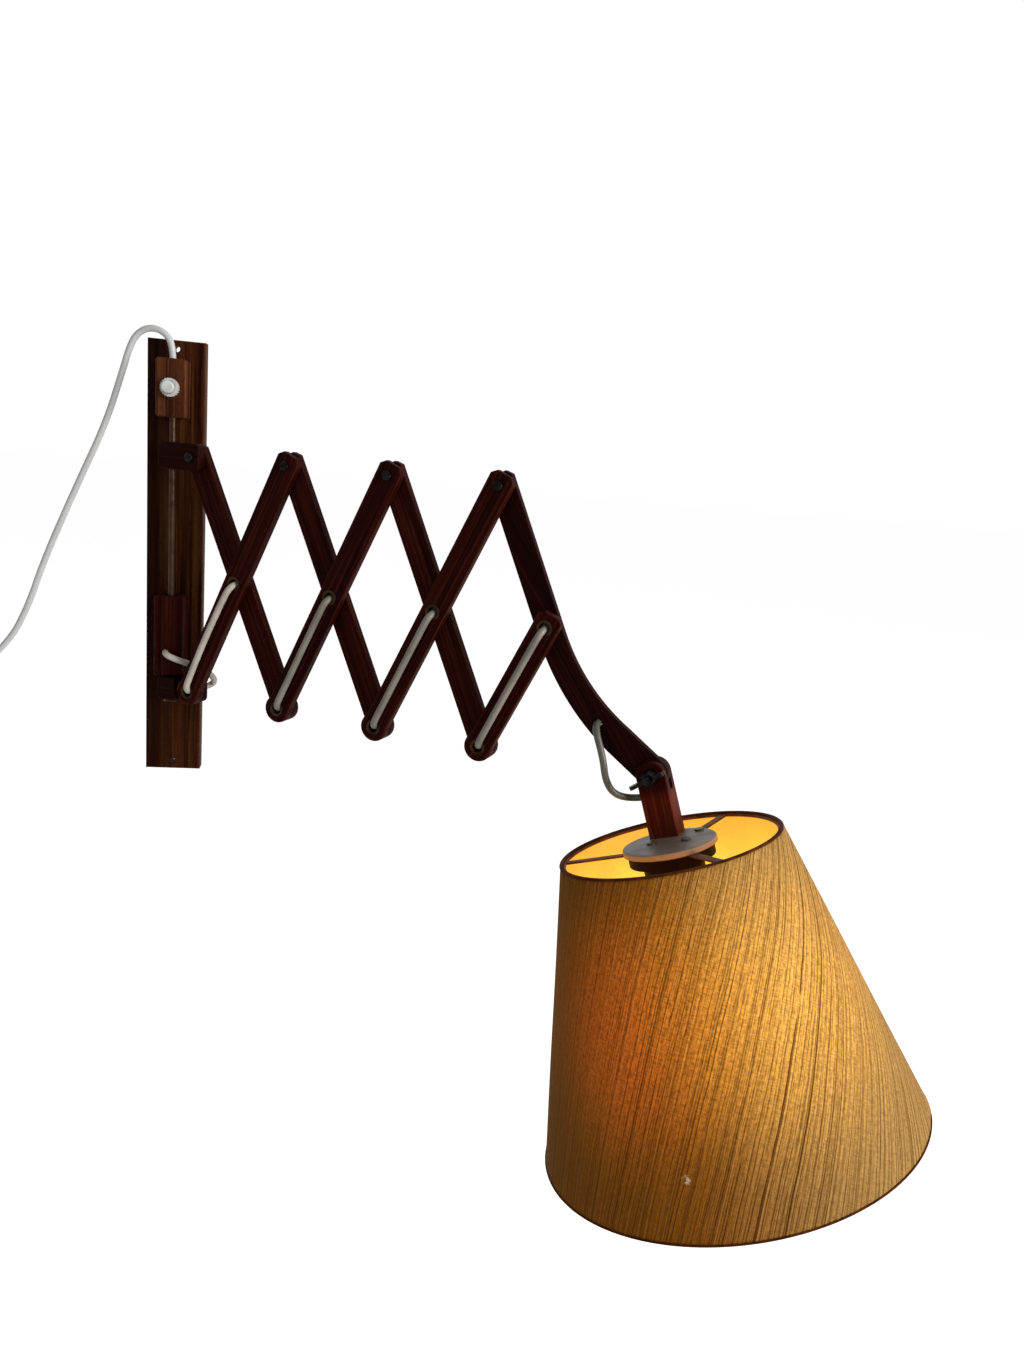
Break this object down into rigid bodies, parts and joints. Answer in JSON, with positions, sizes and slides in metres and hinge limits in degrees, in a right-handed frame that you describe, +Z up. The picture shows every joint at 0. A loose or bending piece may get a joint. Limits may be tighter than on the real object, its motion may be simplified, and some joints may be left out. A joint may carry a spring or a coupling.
{
  "type": "accordion wall lamp",
  "caption": "Wall lamp on a hardwood scissor arm that swings and folds, with a push switch and a tilting cone shade of striped fabric.",
  "frame": {"origin": "middle of the board's back face, which lies on the wall", "axes": "+Z up, +X to the right seen from the room, -Y out of the wall into the room"},
  "size_m": [0.7555, 0.3899, 0.5068],
  "materials": {
    "teak": "oiled dark hardwood",
    "steel": "drawn rod, slightly dulled",
    "black_steel": "blackened, satin",
    "brass": "dark aged",
    "white_plastic": "aged white, satin",
    "grey_plastic": "pale grey, satin, slightly translucent",
    "grey_cord": "grey-white round flex",
    "white_plug": "moulded, satin",
    "brown_plastic": "moulded dark brown",
    "bulb_glass": "frosted",
    "shade_fabric": "linen weave with dark slub stripes",
    "shade_lining": "smooth pale lining",
    "rim_tape": "brown woven tape"
  },
  "bodies": {
    "wall_unit": {"wall_plate": "teak", "switch_block": "teak", "lower_block": "teak", "block_screws": "steel", "steel_rod": "steel", "swivel_pin": "steel", "switch_body": "white_plastic", "switch_nut": "white_plastic", "hidden_leads": "grey_cord", "cord_feed": "grey_cord", "mains_cord": "grey_cord", "mains_coil": "grey_cord", "plug_body": "white_plug", "plug_pins": "steel"},
    "button": {"switch_button": "white_plastic"},
    "slider": {"upper_slider": "teak", "pivot_screw_0": "black_steel"},
    "swivel": {"lower_swivel": "teak", "hollow_pivot_low_0": "brass"},
    "front_0": {"bar_front_0": "teak", "hollow_pivot_mid_0": "brass", "pivot_screw_1": "black_steel", "cord_front_0": "grey_cord"},
    "back_0": {"bar_back_0": "teak", "hollow_pivot_low_1": "brass", "cord_back_0": "grey_cord"},
    "front_1": {"bar_front_1": "teak", "hollow_pivot_mid_1": "brass", "pivot_screw_2": "black_steel", "cord_front_1": "grey_cord"},
    "back_1": {"bar_back_1": "teak", "hollow_pivot_low_2": "brass", "cord_back_1": "grey_cord"},
    "front_2": {"bar_front_2": "teak", "hollow_pivot_mid_2": "brass", "pivot_screw_3": "black_steel", "cord_front_2": "grey_cord"},
    "back_2": {"bar_back_2": "teak", "hollow_pivot_low_3": "brass", "cord_back_2": "grey_cord"},
    "front_3": {"bar_front_3": "teak", "hollow_pivot_mid_3": "brass", "cord_front_3": "grey_cord"},
    "curved_arm": {"curved_arm": "teak", "cord_arm": "grey_cord", "cord_loop": "grey_cord"},
    "head": {"head_block": "teak", "head_bolt": "black_steel", "head_lead": "grey_cord", "cover_disc": "grey_plastic", "holder_cup": "brown_plastic", "disc_screws": "steel", "lamp_holder": "brown_plastic", "bulb": "bulb_glass", "shade_cover": "shade_fabric", "shade_liner": "shade_lining", "shade_rings": "steel", "shade_trims": "rim_tape", "shade_spider": "black_steel"},
    "wing_nut": {"wing_nut": "black_steel"}
  },
  "joints": [
    {"name": "button_press", "type": "slide", "parent": "wall_unit", "child": "button", "axis": [0, 1, 0], "range_m": [0, 0.002], "stiffness_N_per_m": 900},
    {"name": "arm_swing", "type": "hinge", "parent": "wall_unit", "child": "swivel", "pos_m": [0, -0.0259, -0.09151], "axis": [0, 0, -1], "range_deg": [-15, 120], "deforming": ["cord_feed"]},
    {"name": "fold", "type": "hinge", "parent": "swivel", "child": "front_0", "pos_m": [0.01801, -0.0363, -0.09151], "axis": [-0.5, -0.866, 0], "range_deg": [-39, 13.5]},
    {"name": "cross_0", "type": "hinge", "parent": "front_0", "child": "back_0", "pos_m": [0.05207, -0.05597, -0.00581], "axis": [-0.5, -0.866, 0], "range_deg": [-27, 78]},
    {"name": "low_1", "type": "hinge", "parent": "back_0", "child": "front_1", "pos_m": [0.08614, -0.07563, -0.09151], "axis": [-0.5, -0.866, 0], "range_deg": [-78, 27]},
    {"name": "cross_1", "type": "hinge", "parent": "front_1", "child": "back_1", "pos_m": [0.1202, -0.0953, -0.00581], "axis": [-0.5, -0.866, 0], "range_deg": [-27, 78]},
    {"name": "low_2", "type": "hinge", "parent": "back_1", "child": "front_2", "pos_m": [0.15426, -0.11496, -0.09151], "axis": [-0.5, -0.866, 0], "range_deg": [-78, 27]},
    {"name": "cross_2", "type": "hinge", "parent": "front_2", "child": "back_2", "pos_m": [0.18832, -0.13462, -0.00581], "axis": [-0.5, -0.866, 0], "range_deg": [-27, 78]},
    {"name": "low_3", "type": "hinge", "parent": "back_2", "child": "front_3", "pos_m": [0.22238, -0.15429, -0.09151], "axis": [-0.5, -0.866, 0], "range_deg": [-78, 27]},
    {"name": "cross_3", "type": "hinge", "parent": "front_3", "child": "curved_arm", "pos_m": [0.25644, -0.17395, -0.00581], "axis": [-0.5, -0.866, 0], "range_deg": [-27, 78]},
    {"name": "slider_turn", "type": "hinge", "parent": "back_0", "child": "slider", "pos_m": [0.01801, -0.0363, 0.0799], "axis": [-0.5, -0.866, 0], "range_deg": [-39, 13.5]},
    {"name": "head_tilt", "type": "hinge", "parent": "curved_arm", "child": "head", "pos_m": [0.32422, -0.21309, -0.08998], "axis": [-0.5, -0.866, 0], "range_deg": [-45, 60], "deforming": ["cord_loop"]},
    {"name": "wing_nut_turn", "type": "hinge", "parent": "head", "child": "wing_nut", "pos_m": [0.32422, -0.21309, -0.08998], "axis": [-0.5, -0.866, 0], "continuous": true}
  ],
  "couplings": [
    {"joint": "cross_0", "follows": "fold", "ratio": -2},
    {"joint": "low_1", "follows": "fold", "ratio": 2},
    {"joint": "cross_1", "follows": "fold", "ratio": -2},
    {"joint": "low_2", "follows": "fold", "ratio": 2},
    {"joint": "cross_2", "follows": "fold", "ratio": -2},
    {"joint": "low_3", "follows": "fold", "ratio": 2},
    {"joint": "cross_3", "follows": "fold", "ratio": -2},
    {"joint": "slider_turn", "follows": "fold", "ratio": 1}
  ]
}
